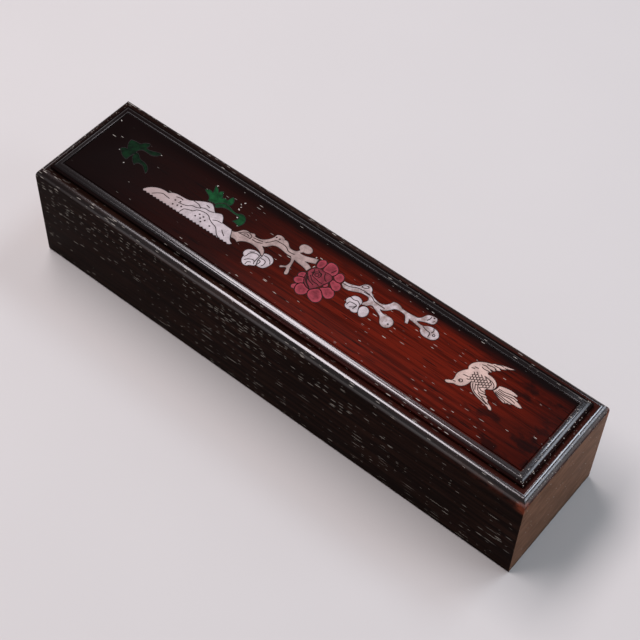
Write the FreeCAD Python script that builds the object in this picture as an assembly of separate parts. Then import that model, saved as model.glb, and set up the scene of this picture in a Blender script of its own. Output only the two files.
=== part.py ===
import FreeCAD, Part
import math
import os

# Long hardwood box that holds an ink stick and an inkstone.
# Millimetres, +Z up. The origin is the middle of the underside. +X runs along the box.
# Four mitred walls stand round a rebated bottom board. A tray board on two bearers holds the
# inkstone and the ink stick in wells. The lid board lies on top of the walls, located by a
# tongue that drops between them, and carries a flower-and-bird inlay let into its top.

# Overall size
LENGTH = 210.0
WIDTH = 47.4
WALL_TOP = 43.3

# Walls, with a rounded bead along their outer top edge
WALL = 6.0
BEAD_WIDTH = 2.45
BEAD_HEIGHT = 3.6
FOOT_CHAMFER = 0.5

# Stopped splines that cross each mitre
SPLINE_WIDTH = 4.0
SPLINE_THICKNESS = 1.4
SPLINE_STOP = 7.0
SPLINE_SHARE_OF_WALL = 0.6
SPLINE_PLAY = 0.05

# Bottom board, let into a rebate along the foot of the walls
BOTTOM_THICKNESS = 3.5
REBATE_WIDTH = 3.0
BOTTOM_PLAY = 0.1

# Lid board: open ledge round its foot, riser, listel, round bead, quirk, then the flat field
LEDGE = 1.6
RISER = 1.4
LISTEL = 0.7
LID_BEAD_WIDTH = 2.5
LID_BEAD_RISE = 1.1
LID_BEAD_RADIUS = 2.4
QUIRK_WIDTH = 0.5
QUIRK_DEPTH = 0.4
TONGUE_DEPTH = 3.5
TONGUE_PLAY = 0.25
TONGUE_CORNER = 1.0

# Tray board on two bearers, with a trough between its wells for a fingertip
BEARER_WIDTH = 4.5
BEARER_HEIGHT = 12.0
TRAY_THICKNESS = 14.0
TRAY_PLAY = 0.2
WELL_PLAY = 0.4
WELL_END = 6.0
WELL_SIDE = 2.2
WELL_GAP = 16.4
STICK_WELL_CORNER = 1.0
STONE_WELL_DEPTH = 9.0
STICK_WELL_DEPTH = 5.5
TROUGH_DEPTH = 8.0
TROUGH_WIDTH = 14.0
TROUGH_REACH = 4.0
TROUGH_CORNER = 3.0

# Inkstone, with a grinding face that runs down into a water pool
STONE_LENGTH = 86.0
STONE_HEIGHT = 14.0
STONE_CORNER = 3.0
STONE_SOFTENING = 0.6
STONE_RIM = 2.4
FACE_DEPTH = 1.2
POOL_DEPTH = 7.0
POOL_LENGTH = 17.0
SLOPE_LENGTH = 14.0

# Ink stick, worn at one end, as long as the room that the stone leaves
STICK_WIDTH = 20.0
STICK_HEIGHT = 9.5
STICK_CORNER = 1.6
STICK_BORDER = 1.8
STICK_END_BORDER = 6.8
STICK_PANEL_DEPTH = 0.5
STICK_WEAR_ANGLE = 14.0

# Inlay glued tight into the lid, the flat field that its drawing was made for, and how far
# the drawing's origin stands from the middle of that field
INLAY_THICKNESS = 1.3
INLAY_PROUD = 0.12
DRAWN_LENGTH = 192.4
DRAWN_WIDTH = 31.6
DRAWN_ALONG = -2.03
DRAWN_ACROSS = 2.82
HATCH_TEETH = 26
HATCH_DEPTH = 0.45

# Sizes that follow from the driving ones
half_length = LENGTH / 2
half_width = WIDTH / 2
bead_inset = BEAD_WIDTH + LEDGE + LISTEL
quirk_inset = bead_inset + LID_BEAD_WIDTH
field_inset = quirk_inset + QUIRK_WIDTH
listel_top = WALL_TOP + RISER
lid_top = listel_top + LID_BEAD_RISE
tray_bottom = BOTTOM_THICKNESS + BEARER_HEIGHT
tray_top = tray_bottom + TRAY_THICKNESS
stretch_x = (LENGTH - 2 * field_inset) / DRAWN_LENGTH
stretch_y = (WIDTH - 2 * field_inset) / DRAWN_WIDTH

Z_AXIS = FreeCAD.Vector(0, 0, 1)
ORIGIN = FreeCAD.Vector(0, 0, 0)
parts = {}


# Shared shapes

def block(inset_x, inset_y, low, high):
    """Block inside the box's outline, moved in from the ends and from the long sides."""
    corner = FreeCAD.Vector(inset_x - half_length, inset_y - half_width, low)
    return Part.makeBox(LENGTH - 2 * inset_x, WIDTH - 2 * inset_y, high - low, corner)


def centred_block(length, width, low, high, centre_x=0.0):
    """Block centred across the box, at a place along it."""
    corner = FreeCAD.Vector(centre_x - length / 2, -width / 2, low)
    return Part.makeBox(length, width, high - low, corner)


def round_uprights(solid, radius):
    """Copy of a block with its vertical edges rounded."""
    height = solid.BoundBox.ZLength
    upright = [edge for edge in solid.Edges if edge.BoundBox.ZLength > 0.9 * height]
    return solid.makeFillet(radius, upright)


def line(start, end):
    """Straight edge in the XZ plane."""
    return Part.makeLine(FreeCAD.Vector(start[0], 0, start[1]), FreeCAD.Vector(end[0], 0, end[1]))


def quarter_round(foot, crest):
    """Edge in the XZ plane, a quarter of an ellipse, that leaves foot upright."""
    curve = Part.BezierCurve()
    curve.setPoles([FreeCAD.Vector(foot[0], 0, foot[1]),
                    FreeCAD.Vector(foot[0], 0, crest[1]),
                    FreeCAD.Vector(crest[0], 0, crest[1])])
    curve.setWeight(2, math.sqrt(0.5))
    return curve.toShape()


def crown(foot, crest_height, radius):
    """Edge in the XZ plane, an arc that rises from foot towards the middle, and its level end."""
    side = math.copysign(1, foot[0])
    angle = math.acos(1 - (crest_height - foot[1]) / radius)
    centre = FreeCAD.Vector(foot[0] - side * radius * math.sin(angle), 0, crest_height - radius)
    start, middle, end = [centre + FreeCAD.Vector(side * math.sin(turn), 0, math.cos(turn)) * radius
                          for turn in (angle, angle / 2, 0)]
    return Part.Arc(start, middle, end).toShape(), (end.x, end.z)


def swept(edges, length):
    """Solid from a closed section in the XZ plane, swept evenly to both sides along Y."""
    face = Part.Face(Part.Wire(Part.__sortEdges__(edges)))
    face.translate(FreeCAD.Vector(0, -length / 2, 0))
    return face.extrude(FreeCAD.Vector(0, length, 0))


def polygon_prism(points, low, high):
    """Upright prism on a polygon."""
    corners = [FreeCAD.Vector(x, y, low) for x, y in points]
    return Part.Face(Part.makePolygon(corners + corners[:1])).extrude(FreeCAD.Vector(0, 0, high - low))


def turned(solid, degrees):
    """Copy turned about the vertical axis through the origin."""
    copy = solid.copy()
    copy.rotate(ORIGIN, Z_AXIS, degrees)
    return copy


# Box body

def spline_place(grow):
    """Upright strip across the mitre at the corner towards +X and -Y, larger all round by grow."""
    width = SPLINE_WIDTH + 2 * grow
    thickness = SPLINE_THICKNESS + 2 * grow
    low = BOTTOM_THICKNESS + SPLINE_STOP - grow
    high = WALL_TOP - BEAD_HEIGHT - SPLINE_STOP + grow
    strip = Part.makeBox(thickness, width, high - low, FreeCAD.Vector(-thickness / 2, -width / 2, low))
    strip.rotate(ORIGIN, Z_AXIS, -45)
    depth = SPLINE_SHARE_OF_WALL * WALL
    strip.translate(FreeCAD.Vector(half_length - depth, depth - half_width, 0))
    return strip


def at_corners(solid):
    """The solid for one corner, mirrored to all four."""
    across = solid.mirror(ORIGIN, FreeCAD.Vector(0, 1, 0))
    return [solid, across, turned(across, 180), turned(solid, 180)]


def wall(length, span):
    """Mitred wall that runs along Y, with its outer face at x = -span."""
    outer = -span
    inner = WALL - span
    rebate = inner - REBATE_WIDTH
    bead_foot = (outer, WALL_TOP - BEAD_HEIGHT)
    bead_crest = (outer + BEAD_WIDTH, WALL_TOP)
    edges = [line((outer + FOOT_CHAMFER, 0), (outer, FOOT_CHAMFER)),
             line((outer, FOOT_CHAMFER), bead_foot),
             quarter_round(bead_foot, bead_crest),
             line(bead_crest, (inner, WALL_TOP)),
             line((inner, WALL_TOP), (inner, BOTTOM_THICKNESS)),
             line((inner, BOTTOM_THICKNESS), (rebate, BOTTOM_THICKNESS)),
             line((rebate, BOTTOM_THICKNESS), (rebate, 0)),
             line((rebate, 0), (outer + FOOT_CHAMFER, 0))]
    mitred = polygon_prism([(outer, -length / 2), (outer, length / 2),
                            (inner, length / 2 - WALL), (inner, WALL - length / 2)], 0, WALL_TOP)
    return swept(edges, length).common(mitred)


def make_walls():
    slots = at_corners(spline_place(SPLINE_PLAY))
    end_wall = wall(WIDTH, half_length)
    side_wall = turned(wall(LENGTH, half_width), 90)
    parts["left_end_wall"] = end_wall.cut(slots)
    parts["right_end_wall"] = turned(end_wall, 180).cut(slots)
    parts["front_wall"] = side_wall.cut(slots)
    parts["back_wall"] = turned(side_wall, 180).cut(slots)
    parts["mitre_splines"] = Part.makeCompound(at_corners(spline_place(0)))


def make_bottom_board():
    inset = WALL - REBATE_WIDTH + BOTTOM_PLAY
    parts["bottom_board"] = block(inset, inset, 0, BOTTOM_THICKNESS)


# Tray, inkstone and ink stick

inner_length = LENGTH - 2 * WALL
stone_width = WIDTH - 2 * (WALL + TRAY_PLAY + WELL_SIDE + WELL_PLAY)
stick_length = inner_length - 2 * WELL_END - WELL_GAP - STONE_LENGTH - 4 * WELL_PLAY
stone_well_length = STONE_LENGTH + 2 * WELL_PLAY
stick_well_length = stick_length + 2 * WELL_PLAY
stone_x = WALL + WELL_END + stone_well_length / 2 - half_length
stick_x = half_length - WALL - WELL_END - stick_well_length / 2


def make_tray():
    for name, side in (("front_bearer", -1), ("back_bearer", 1)):
        length = inner_length - 2 * TRAY_PLAY
        corner_y = side * (half_width - WALL - BEARER_WIDTH / 2) - BEARER_WIDTH / 2
        corner = FreeCAD.Vector(-length / 2, corner_y, BOTTOM_THICKNESS)
        parts[name] = Part.makeBox(length, BEARER_WIDTH, BEARER_HEIGHT, corner)

    tray = block(WALL + TRAY_PLAY, WALL + TRAY_PLAY, tray_bottom, tray_top)
    stone_well = centred_block(stone_well_length, stone_width + 2 * WELL_PLAY,
                               tray_top - STONE_WELL_DEPTH, tray_top + 1, stone_x)
    stick_well = centred_block(stick_well_length, STICK_WIDTH + 2 * WELL_PLAY,
                               tray_top - STICK_WELL_DEPTH, tray_top + 1, stick_x)
    tray = tray.cut(round_uprights(stone_well, STONE_CORNER))
    tray = tray.cut(round_uprights(stick_well, STICK_WELL_CORNER))

    trough_start = stone_x + stone_well_length / 2 - TROUGH_REACH
    trough_end = stick_x - stick_well_length / 2 + TROUGH_REACH
    trough = centred_block(trough_end - trough_start, TROUGH_WIDTH, tray_top - TROUGH_DEPTH,
                           tray_top + 1, (trough_start + trough_end) / 2)
    parts["tray_board"] = tray.cut(round_uprights(trough, TROUGH_CORNER))


def make_inkstone():
    base = tray_top - STONE_WELL_DEPTH
    top = base + STONE_HEIGHT
    body = round_uprights(centred_block(STONE_LENGTH, stone_width, base, top, stone_x), STONE_CORNER)
    rim_edges = [edge for edge in body.Edges if edge.BoundBox.ZMin > top - 0.01]
    body = body.makeFillet(STONE_SOFTENING, rim_edges)

    left = stone_x - STONE_LENGTH / 2 + STONE_RIM
    right = stone_x + STONE_LENGTH / 2 - STONE_RIM
    pool_end = left + POOL_LENGTH
    slope_end = pool_end + SLOPE_LENGTH
    face_level = top - FACE_DEPTH
    pool_level = top - POOL_DEPTH
    hollow = swept([line((left, top + 1), (left, pool_level)),
                    line((left, pool_level), (pool_end, pool_level)),
                    line((pool_end, pool_level), (slope_end, face_level)),
                    line((slope_end, face_level), (right, face_level)),
                    line((right, face_level), (right, top + 1)),
                    line((right, top + 1), (left, top + 1))], stone_width)
    outline = centred_block(STONE_LENGTH - 2 * STONE_RIM, stone_width - 2 * STONE_RIM,
                            base, top + 1, stone_x)
    parts["inkstone"] = body.cut(hollow.common(round_uprights(outline, STONE_CORNER)))


def make_ink_stick():
    base = tray_top - STICK_WELL_DEPTH
    top = base + STICK_HEIGHT
    body = centred_block(stick_length, STICK_WIDTH, base, top, stick_x)
    lengthwise = [edge for edge in body.Edges if edge.BoundBox.XLength > 0.9 * stick_length]
    body = body.makeFillet(STICK_CORNER, lengthwise)

    border = STICK_CORNER + STICK_BORDER
    panel = centred_block(stick_length - 2 * STICK_END_BORDER, STICK_WIDTH - 2 * border,
                          top - STICK_PANEL_DEPTH, top + 1, stick_x)
    panel = round_uprights(panel, STICK_CORNER)

    worn_end = FreeCAD.Vector(stick_x + stick_length / 2, 0, base)
    wear = Part.makeBox(STICK_HEIGHT, 2 * STICK_WIDTH, 2 * STICK_HEIGHT,
                        FreeCAD.Vector(worn_end.x, -STICK_WIDTH, base))
    wear.rotate(worn_end, FreeCAD.Vector(0, 1, 0), -STICK_WEAR_ANGLE)
    parts["ink_stick"] = body.cut([panel, wear])


# Inlay outlines, in the drawing's own millimetres on the flat field of the lid

def smooth_edge(points, closed=False):
    """Curve through points."""
    curve = Part.BSplineCurve()
    curve.interpolate([FreeCAD.Vector(x, y, 0) for x, y in points], PeriodicFlag=closed)
    return curve.toShape()


def round_face(*points):
    """Face with one smooth outline through points."""
    return Part.Face(Part.Wire([smooth_edge(points, closed=True)]))


def cut_face(start, *runs):
    """Face with corners. Each run leaves the last corner: one point is straight, more are a curve."""
    edges = []
    corner = start
    for run in runs:
        points = [corner] + run
        if len(points) == 2:
            edges.append(Part.makeLine(FreeCAD.Vector(*points[0], 0), FreeCAD.Vector(*points[1], 0)))
        else:
            edges.append(smooth_edge(points))
        corner = points[-1]
    return Part.Face(Part.Wire(edges))


def rock():
    """Garden rock with a hatched foot."""
    right_foot = (-26.4, -9.2)
    left_foot = (-65.4, -9.9)
    step_x = (left_foot[0] - right_foot[0]) / HATCH_TEETH
    step_y = (left_foot[1] - right_foot[1]) / HATCH_TEETH
    hatching = []
    for tooth in range(HATCH_TEETH):
        mid = tooth + 0.5
        hatching.append([(right_foot[0] + mid * step_x, right_foot[1] + mid * step_y - HATCH_DEPTH)])
        end = tooth + 1
        hatching.append([(right_foot[0] + end * step_x, right_foot[1] + end * step_y)])
    return cut_face(left_foot,
                    [(-64.0, -7.6), (-61.5, -6.0), (-57.4, -5.5)],
                    [(-55.5, -4.1), (-52.5, -3.7), (-48.6, -2.6)],
                    [(-46.3, -1.0), (-44.0, 0.2), (-42.8, 0.5), (-41.4, -0.1), (-39.2, -1.9)],
                    [(-38.0, -1.2), (-36.9, -0.95), (-35.9, -1.5), (-34.4, -3.7)],
                    [(-30.1, -3.8)],
                    [(-29.1, -5.2), (-28.2, -6.8), (-27.2, -7.9), (-25.9, -8.4)],
                    [right_foot],
                    *hatching)


def left_branch():
    """Branch from the rock to the peony, with a knot, a bud, a forked twig and a tendril."""
    return cut_face((-29.8, -4.1),
                    [(-28.0, -3.2), (-27.2, -1.7), (-25.6, -0.8), (-24.3, -0.8), (-23.2, -0.3),
                     (-22.0, -1.0)],
                    [(-20.2, -0.8), (-18.3, 0.6), (-17.3, 2.2), (-17.0, 4.2)],
                    [(-16.1, 4.8), (-14.6, 4.9), (-13.5, 4.3)],
                    [(-11.6, 4.0), (-10.2, 2.9), (-8.6, 2.7), (-7.4, 3.2), (-6.9, 4.2)],
                    [(-8.0, 5.5), (-7.5, 6.9), (-5.6, 7.5), (-3.5, 6.9), (-3.0, 5.6), (-3.9, 4.4),
                     (-5.3, 4.1)],
                    [(-6.0, 3.3)],
                    [(-3.6, 3.5), (-1.4, 4.4), (0.5, 5.1)],
                    [(0.9, 2.9)],
                    [(-0.8, 2.1), (-2.3, 1.5)],
                    [(-0.6, 1.3), (0.9, 0.6)],
                    [(0.4, -1.4)],
                    [(-1.6, -0.8), (-3.6, -0.6), (-5.5, -0.3)],
                    [(-4.9, -2.4), (-4.3, -4.2), (-3.5, -5.9), (-3.6, -6.8), (-4.4, -7.0),
                     (-5.0, -6.0), (-5.5, -4.7)],
                    [(-6.6, -5.3), (-7.4, -5.8), (-7.8, -5.4), (-7.1, -4.6), (-6.2, -3.9)],
                    [(-6.0, -2.6), (-6.4, -1.2), (-7.6, 0.1)],
                    [(-10.5, 0.1), (-13.4, 0.3), (-15.0, -0.3), (-15.9, -1.6), (-17.5, -2.7)],
                    [(-16.2, -3.4), (-15.2, -4.5), (-14.8, -5.9)],
                    [(-15.4, -6.0)],
                    [(-17.0, -5.0), (-19.4, -4.4), (-22.2, -4.6), (-24.2, -5.6), (-25.2, -7.0)],
                    [(-26.3, -6.5), (-28.2, -6.6)],
                    [(-29.0, -5.4), (-29.8, -4.1)])


def left_fan():
    """Left half of the white blossom, with its stem."""
    return cut_face((-14.8, -6.0),
                    [(-15.4, -6.1)],
                    [(-17.0, -5.5), (-18.8, -5.8), (-20.4, -6.9), (-20.8, -8.3), (-19.6, -9.7)],
                    [(-19.4, -11.0), (-18.6, -12.1), (-17.2, -12.7), (-15.9, -12.3)],
                    [(-15.2, -11.5), (-14.2, -10.9), (-13.9, -10.1)],
                    [(-14.3, -9.2), (-14.8, -8.1)],
                    [(-14.8, -6.0)])


def right_fan():
    """Right half of the white blossom."""
    return cut_face((-14.7, -5.9),
                    [(-15.1, -4.9), (-14.2, -4.2), (-12.9, -4.0), (-11.3, -4.4), (-10.3, -5.5),
                     (-10.1, -6.8)],
                    [(-10.4, -8.2), (-11.0, -9.5), (-12.2, -10.2), (-13.8, -10.2)],
                    [(-14.2, -9.2), (-14.7, -8.0)],
                    [(-14.7, -5.9)])


PEONY_HEART = [(1.0, -1.2), (1.5, 0.9), (3.0, 2.2), (5.4, 2.3), (7.7, 2.5), (9.3, 1.1), (9.0, -0.6),
               (8.3, -2.6), (7.4, -4.6), (6.1, -6.4), (3.7, -6.1), (1.9, -4.2)]
PEONY_PETALS = [
    [(9.3, -0.8), (9.9, -1.6), (9.6, -2.6), (8.8, -2.9), (8.3, -2.0), (8.6, -1.1)],
    [(3.9, 5.3), (4.6, 6.9), (6.2, 7.1), (8.1, 6.2), (9.0, 4.6), (8.7, 2.9), (6.6, 1.8), (4.6, 2.2),
     (4.0, 3.6)],
    [(1.0, 4.2), (1.4, 5.7), (2.6, 6.35), (3.7, 5.6), (3.9, 3.8), (3.0, 2.2), (1.7, 2.4)],
    [(9.1, 4.5), (10.3, 5.4), (11.7, 4.8), (12.4, 3.2), (12.0, 1.9), (10.4, 1.6), (8.9, 2.6)],
    [(9.5, 1.4), (10.8, 1.9), (12.6, 1.6), (13.7, 0.2), (13.4, -1.5), (12.0, -1.9), (10.4, -1.0),
     (9.3, 0.0)],
    [(6.2, -6.8), (7.2, -5.2), (8.6, -4.4), (10.3, -5.3), (11.6, -6.9), (11.7, -8.6), (10.4, -9.9),
     (8.4, -9.7), (6.7, -8.6)],
    [(11.0, -1.6), (12.7, -2.0), (13.8, -3.2), (13.8, -5.0), (12.6, -6.1), (10.6, -5.6), (8.3, -4.0),
     (9.4, -2.6)],
    [(2.4, -6.2), (4.4, -5.9), (6.1, -6.9), (6.3, -8.8), (5.3, -10.2), (3.7, -10.6), (2.2, -9.6),
     (1.6, -7.8)],
    [(1.9, -7.0), (0.7, -7.8), (0.2, -8.9), (0.8, -9.8), (2.0, -9.6), (2.6, -8.4)],
    [(1.6, -3.9), (0.2, -4.4), (-0.7, -5.2), (-0.8, -6.4), (0.1, -7.2), (1.6, -7.2), (2.7, -6.0)],
    [(0.5, -1.9), (-0.5, -2.5), (-1.0, -3.7), (-0.5, -4.7), (0.9, -4.7), (2.0, -3.6), (1.6, -2.2)]]


def right_branch():
    """Branch beyond the peony, with two knots, a stalked bud and a tip blossom."""
    return cut_face((12.8, 3.5),
                    [(14.6, 3.7), (16.2, 4.3), (17.6, 5.0), (18.4, 6.3), (20.2, 7.5), (21.6, 7.0),
                     (22.4, 5.7)],
                    [(24.4, 4.4), (26.6, 3.9), (28.6, 4.3), (29.7, 5.6), (30.2, 7.1)],
                    [(31.6, 7.5), (33.0, 7.3), (34.0, 6.8)],
                    [(37.0, 6.8), (40.0, 7.1)],
                    [(41.2, 8.4), (42.0, 10.1), (43.6, 10.8), (45.3, 10.8), (46.0, 9.4), (45.2, 7.7)],
                    [(43.2, 7.1), (40.8, 5.8)],
                    [(42.2, 5.5), (43.7, 5.7)],
                    [(45.0, 6.7), (46.8, 7.1), (49.0, 6.5), (50.1, 4.8), (49.2, 2.9), (47.4, 2.3),
                     (45.2, 2.4),
                     (43.3, 4.1)],
                    [(41.0, 4.5), (38.5, 4.8)],
                    [(39.2, 2.9)],
                    [(38.1, 2.7)],
                    [(37.3, 4.0), (36.3, 5.2)],
                    [(34.4, 5.4), (32.6, 5.0), (31.4, 3.5), (30.3, 2.3), (28.8, 1.9)],
                    [(29.9, 1.3), (31.6, 1.2), (33.6, 1.4), (35.3, 0.6), (35.8, -1.0), (35.0, -2.7),
                     (33.2, -3.2),
                     (31.6, -2.3), (30.4, -0.6), (28.6, 0.3), (26.3, 1.3)],
                    [(25.2, 0.9), (24.8, 0.1)],
                    [(23.0, -0.5)],
                    [(22.9, 0.7), (23.5, 2.0), (23.1, 3.0), (21.6, 3.3), (19.6, 2.9), (17.6, 1.9),
                     (15.4, 1.1),
                     (13.9, 1.1)],
                    [(12.7, 2.0)],
                    [(12.8, 3.5)])


def right_blossom():
    """Three-lobed blossom under the right branch."""
    return cut_face((22.9, -0.6),
                    [(22.4, 0.7), (21.4, 1.3), (20.2, 1.4), (18.9, 0.8), (18.4, -0.3)],
                    [(17.8, -1.4), (18.0, -2.5), (18.7, -3.0)],
                    [(18.8, -4.1), (19.8, -4.8), (21.2, -4.6)],
                    [(22.2, -4.9), (23.2, -4.7), (23.9, -4.0)],
                    [(23.5, -2.9), (22.9, -1.8), (22.9, -0.6)])


def round_petal():
    """Single round petal beside the blossom."""
    return round_face((25.0, -0.25), (26.6, -1.1), (27.1, -2.7), (26.5, -4.3), (25.2, -4.8), (24.1, -3.9),
                      (23.3, -2.2), (23.6, -0.9))


def bird_body():
    """Flying bird with its head bent down, body and both wings."""
    return cut_face((64.5, 1.2),
                    [(63.9, 2.6), (64.3, 4.2), (65.6, 5.8), (67.4, 7.0), (69.0, 7.6)],
                    [(70.3, 8.6), (72.4, 9.5), (76.2, 10.6)],
                    [(75.4, 9.8), (73.2, 8.9)],
                    [(74.1, 8.7)],
                    [(73.3, 8.2), (72.1, 7.6)],
                    [(72.9, 7.3)],
                    [(72.2, 6.7), (71.0, 6.5)],
                    [(71.7, 6.1)],
                    [(71.1, 5.6), (70.2, 5.3)],
                    [(71.0, 5.0)],
                    [(70.6, 4.5), (70.1, 4.1)],
                    [(70.6, 3.6)],
                    [(72.2, 3.6), (73.8, 3.0), (75.0, 1.9), (75.3, 0.6), (74.7, -0.6), (73.4, -1.2)],
                    [(73.2, -2.0)],
                    [(74.2, -3.0)],
                    [(74.0, -3.2), (75.0, -3.6), (75.2, -4.2)],
                    [(76.1, -4.4), (76.4, -5.0)],
                    [(77.7, -5.6), (78.8, -6.3), (79.1, -7.0)],
                    [(78.4, -7.2), (77.6, -6.8)],
                    [(74.0, -6.0), (71.0, -5.1), (69.2, -3.9), (68.3, -2.8), (68.0, -1.9)],
                    [(67.8, -3.4), (67.1, -5.0), (65.8, -6.0), (64.4, -6.2)],
                    [(63.4, -6.8), (62.0, -7.3), (61.3, -6.9), (61.7, -6.3), (62.9, -5.7)],
                    [(63.1, -4.4), (62.7, -2.6), (63.2, -0.7), (64.5, 1.2)])


def bird_tail():
    """Fan of tail feathers."""
    return cut_face((75.7, 2.2),
                    [(78.0, 3.0), (80.6, 3.2), (82.3, 2.9)],
                    [(82.5, 2.3)],
                    [(81.5, 2.1)],
                    [(82.6, 1.7), (83.4, 1.4), (83.2, 0.9)],
                    [(84.6, 0.6), (86.0, -0.1)],
                    [(85.4, -0.6), (84.2, -0.8), (82.7, -0.9)],
                    [(82.3, -1.4), (81.4, -1.5)],
                    [(80.9, -2.0), (80.0, -2.2)],
                    [(77.4, -1.4), (75.2, -0.4)],
                    [(75.7, 0.8), (75.7, 2.2)])


def near_leaves():
    """Spray of dark leaves behind the rock's peak."""
    return cut_face((-44.9, 0.6),
                    [(-45.8, 2.2), (-47.4, 3.0), (-49.0, 3.8)],
                    [(-47.8, 4.7), (-45.9, 4.4)],
                    [(-46.6, 6.0), (-47.4, 7.6)],
                    [(-45.6, 6.9), (-44.4, 5.6)],
                    [(-44.2, 6.6), (-43.2, 7.2)],
                    [(-42.4, 5.8), (-41.7, 4.6)],
                    [(-40.9, 5.3), (-40.3, 5.4)],
                    [(-39.9, 4.9), (-39.6, 6.2), (-38.7, 7.3)],
                    [(-37.6, 6.0), (-37.3, 4.4), (-37.6, 3.5)],
                    [(-39.2, 3.4), (-41.0, 2.4), (-41.7, 0.9)],
                    [(-42.7, 1.0), (-43.8, 0.8), (-44.9, 0.6)])


def near_stem():
    """Bright stem that arches away from the rock and hooks over."""
    return cut_face((-41.6, 0.4),
                    [(-40.9, 2.3), (-39.2, 3.3), (-37.2, 3.3), (-35.4, 2.8), (-33.0, 2.8)],
                    [(-31.3, 3.6), (-29.8, 3.0), (-28.8, 1.4), (-28.8, -0.2), (-29.5, -1.6)],
                    [(-30.9, -1.0), (-32.4, -1.0)],
                    [(-31.9, 0.2), (-31.6, 1.2), (-32.2, 2.0)],
                    [(-34.5, 1.9), (-36.8, 2.0), (-38.8, 1.5), (-40.0, 0.4)],
                    [(-40.8, 0.0), (-41.6, 0.4)])


def far_leaves():
    """Spray of dark leaves near the left end."""
    return cut_face((-84.4, 4.4),
                    [(-82.4, 4.9), (-80.4, 5.0)],
                    [(-79.6, 6.3), (-77.8, 7.2)],
                    [(-77.4, 6.2), (-77.6, 5.0)],
                    [(-75.6, 5.0), (-74.0, 5.6), (-71.6, 6.3)],
                    [(-72.0, 4.6), (-73.4, 3.6), (-75.8, 3.4), (-78.0, 3.2)],
                    [(-78.9, 2.0), (-78.7, 0.6)],
                    [(-79.2, -1.4), (-79.2, -3.6)],
                    [(-81.4, -3.2), (-83.4, -1.8)],
                    [(-84.4, -1.0), (-83.8, 0.0), (-82.4, 0.3)],
                    [(-83.4, 1.6), (-84.2, 2.8)],
                    [(-84.4, 4.4)])


def far_stem():
    """Stem that hooks down from the far leaves."""
    return cut_face((-78.6, 1.2),
                    [(-77.2, 0.8), (-75.8, -0.2), (-73.6, -0.5), (-71.4, -1.2), (-70.0, -2.6),
                     (-69.6, -4.1)],
                    [(-70.8, -3.4), (-72.2, -2.4), (-74.4, -2.1)],
                    [(-75.2, -2.6), (-75.4, -3.7)],
                    [(-77.0, -2.8), (-78.5, -1.2)],
                    [(-78.8, 0.0), (-78.6, 1.2)])


def draw_inlay():
    """Every inlay piece by name, as faces that touch but don't overlap."""
    faces = {"inlay_rock": rock(), "inlay_left_branch": left_branch(),
             "inlay_left_fan": left_fan(), "inlay_right_fan": right_fan(),
             "inlay_right_branch": right_branch(), "inlay_right_blossom": right_blossom(),
             "inlay_round_petal": round_petal(), "inlay_bird_body": bird_body(),
             "inlay_bird_tail": bird_tail(), "inlay_near_stem": near_stem(),
             "inlay_near_leaves": near_leaves(), "inlay_far_stem": far_stem(),
             "inlay_far_leaves": far_leaves(), "inlay_peony_heart": round_face(*PEONY_HEART)}
    for number, petal in enumerate(PEONY_PETALS, start=1):
        faces["inlay_peony_petal_%d" % number] = round_face(*petal)
    return faces


def make_lid():
    """Lid board and the inlay pieces in their pockets."""
    tongue_inset = WALL + TONGUE_PLAY
    tongue = block(tongue_inset, tongue_inset, WALL_TOP - TONGUE_DEPTH, WALL_TOP)
    foot = block(BEAD_WIDTH + LEDGE, BEAD_WIDTH + LEDGE, WALL_TOP, listel_top)
    bands = []
    for span, length in ((half_length, WIDTH), (half_width, LENGTH)):
        outer = span - bead_inset
        right, right_crest = crown((outer, listel_top), lid_top, LID_BEAD_RADIUS)
        left, left_crest = crown((-outer, listel_top), lid_top, LID_BEAD_RADIUS)
        bands.append(swept([line((-outer, listel_top), (outer, listel_top)), right,
                            line(right_crest, left_crest), left], length))
    top = bands[0].common(turned(bands[1], 90))
    quirk = block(quirk_inset, quirk_inset, lid_top - QUIRK_DEPTH, lid_top + 1)
    quirk = quirk.cut(block(field_inset, field_inset, lid_top - QUIRK_DEPTH, lid_top + 1))
    board = round_uprights(tongue, TONGUE_CORNER).fuse([foot, top]).removeSplitter().cut(quirk)

    pocket_floor = lid_top + INLAY_PROUD - INLAY_THICKNESS
    placing = FreeCAD.Matrix()
    placing.move(DRAWN_ALONG, DRAWN_ACROSS, 0)
    placing.scale(stretch_x, stretch_y, 1)
    pockets = []
    for name, face in draw_inlay().items():
        drawn = face.transformGeometry(placing).Faces[0]
        drawn.translate(FreeCAD.Vector(0, 0, pocket_floor))
        piece = drawn.extrude(FreeCAD.Vector(0, 0, INLAY_THICKNESS))
        beside = [other for other in pockets if other.BoundBox.intersect(piece.BoundBox)]
        parts[name] = piece.cut(beside) if beside else piece
        pockets.append(parts[name])
    parts["lid_board"] = board.cut(pockets)


make_walls()
make_bottom_board()
make_tray()
make_inkstone()
make_ink_stick()
make_lid()

os.makedirs("parts", exist_ok=True)
for name, shape in parts.items():
    shape.exportStep("parts/%s.step" % name)
    print(name, shape.isValid(), len(shape.Solids), round(shape.Volume, 2))
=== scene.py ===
import math
from functools import partial

import bmesh
import bpy
import numpy as np
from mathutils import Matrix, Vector
from mathutils.geometry import delaunay_2d_cdt


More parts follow.
